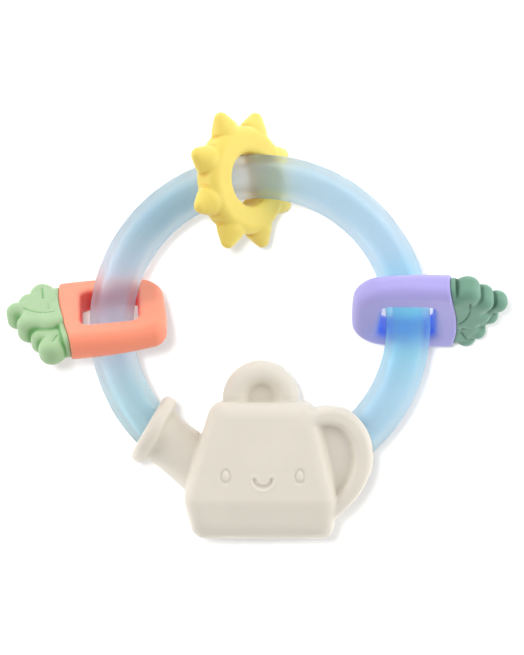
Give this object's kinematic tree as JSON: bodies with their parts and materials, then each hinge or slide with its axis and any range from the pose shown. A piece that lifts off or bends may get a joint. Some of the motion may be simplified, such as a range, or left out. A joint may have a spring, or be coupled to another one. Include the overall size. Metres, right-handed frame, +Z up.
{
  "type": "teething ring",
  "caption": "Soft translucent teething ring closed inside a hollow watering can, with a sun, a carrot and a radish that slide along it.",
  "frame": {"origin": "on the floor that the ring lies on, below the middle of the ring", "axes": "+Z up from the floor, through the ring; +Y from the watering can across the ring towards the sun; +X towards the radish"},
  "size_m": [0.1448, 0.1231, 0.0313],
  "materials": {
    "clear_blue_tube": "frosted translucent",
    "joiner_plastic": "satin",
    "can_plastic": "satin",
    "sun_silicone": "matte",
    "carrot_silicone": "matte",
    "light_leaf_silicone": "matte",
    "radish_silicone": "matte",
    "dark_leaf_silicone": "matte"
  },
  "bodies": {
    "ring_and_can": {"ring_tube": "clear_blue_tube", "ring_joiner": "joiner_plastic", "can_front_shell": "can_plastic", "can_back_shell": "can_plastic"},
    "sun_charm": {"sun": "sun_silicone"},
    "carrot_charm": {"carrot_body": "carrot_silicone", "carrot_leaves": "light_leaf_silicone"},
    "radish_charm": {"radish_body": "radish_silicone", "radish_leaves": "dark_leaf_silicone"}
  },
  "joints": [
    {"name": "sun_slide", "type": "hinge", "parent": "ring_and_can", "child": "sun_charm", "pos_m": [0, 0, 0.0158], "axis": [0, 0, 1], "range_deg": [-34, 26]},
    {"name": "carrot_slide", "type": "hinge", "parent": "ring_and_can", "child": "carrot_charm", "pos_m": [0, 0, 0.0158], "axis": [0, 0, 1], "range_deg": [-25, 28]},
    {"name": "radish_slide", "type": "hinge", "parent": "ring_and_can", "child": "radish_charm", "pos_m": [0, 0, 0.0158], "axis": [0, 0, 1], "range_deg": [-34, 32]}
  ]
}
